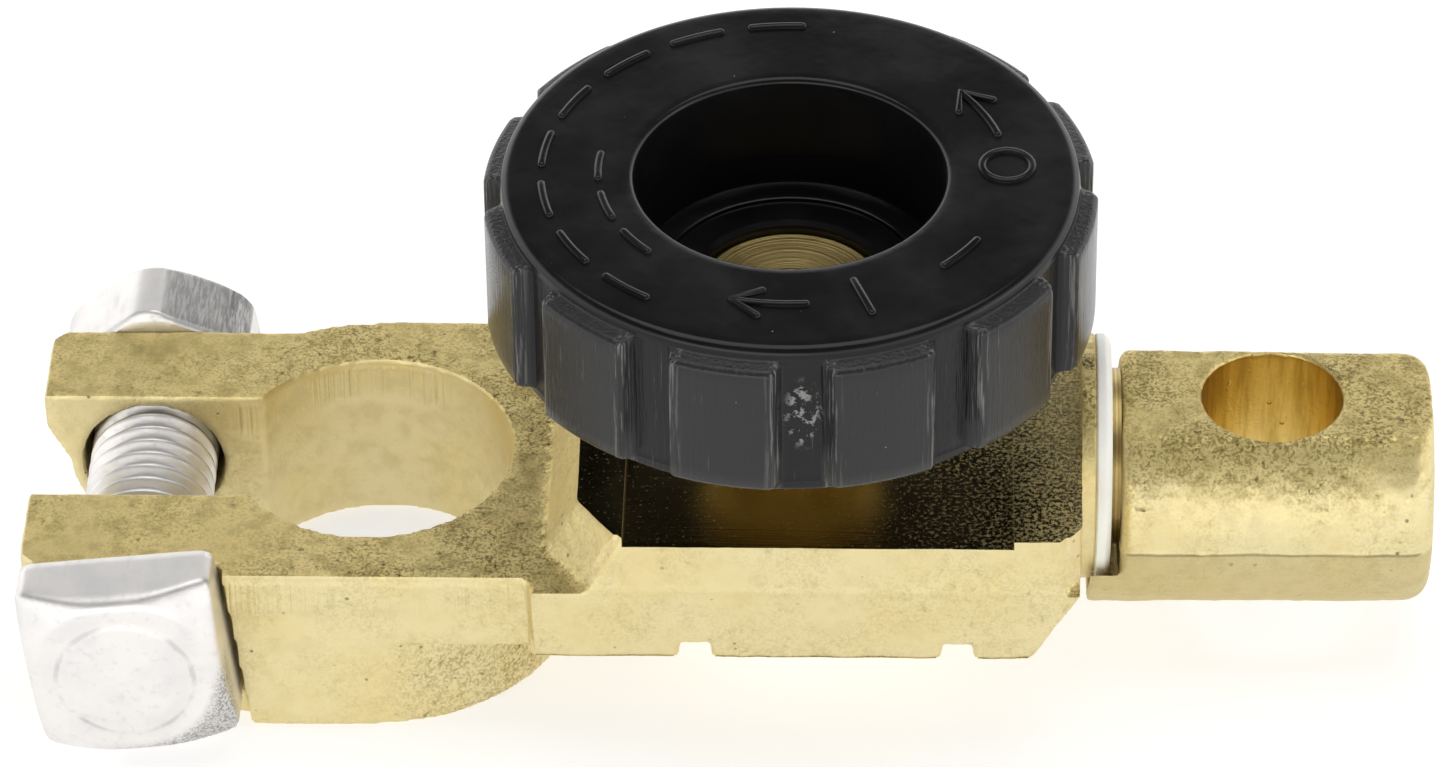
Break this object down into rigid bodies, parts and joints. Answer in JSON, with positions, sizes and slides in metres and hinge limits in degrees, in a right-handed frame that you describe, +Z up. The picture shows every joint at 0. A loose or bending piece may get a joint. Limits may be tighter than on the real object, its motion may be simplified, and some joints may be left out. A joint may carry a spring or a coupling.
{
  "type": "battery post disconnect switch",
  "caption": "Battery post disconnect switch: a brass post clamp with a screw-down black knob that joins or parts an insulated brass cable lug.",
  "frame": {"origin": "on the axis of the post bore, level with the clamp ring's top face", "axes": "+X along the switch's length towards the cable lug, +Y away from the clamp bolt's head, +Z up out of the top of the post bore"},
  "size_m": [0.0856, 0.037, 0.0336],
  "materials": {
    "cast_brass": "sand cast, pale yellow, pitted",
    "turned_brass": "turned and milled, bright",
    "zinc_steel": "bright zinc plate",
    "black_plastic": "gloss black moulding, lightly scuffed",
    "white_nylon": "natural nylon, satin"
  },
  "bodies": {
    "clamp": {"clamp_body": "cast_brass", "contact_stem": "turned_brass", "insulating_bush": "white_nylon", "support_plug": "white_nylon", "cable_lug": "cast_brass"},
    "contact": {"contact_tip": "turned_brass"},
    "knob": {"knob": "black_plastic", "switch_screw": "turned_brass"},
    "bolt": {"clamp_bolt": "zinc_steel"},
    "nut": {"clamp_nut": "zinc_steel"}
  },
  "joints": [
    {"name": "knob_lift", "type": "slide", "parent": "clamp", "child": "contact", "axis": [0, 0, 1], "range_m": [-0.0012, 0.00225]},
    {"name": "knob_turn", "type": "hinge", "parent": "contact", "child": "knob", "pos_m": [0.0257, 0, 0], "axis": [0, 0, 1], "range_deg": [-288, 540]},
    {"name": "nut_turn", "type": "hinge", "parent": "clamp", "child": "nut", "pos_m": [-0.0142, 0.0114, -0.0052], "axis": [0, 1, 0], "range_deg": [0, 1800]},
    {"name": "bolt_slide", "type": "slide", "parent": "clamp", "child": "bolt", "axis": [0, -1, 0], "range_m": [0, 0.00625]}
  ],
  "couplings": [
    {"joint": "knob_lift", "follows": "knob_turn", "m_per_rad": 0.00023873},
    {"joint": "nut_turn", "follows": "bolt_slide", "rad_per_m": 5026.5}
  ]
}
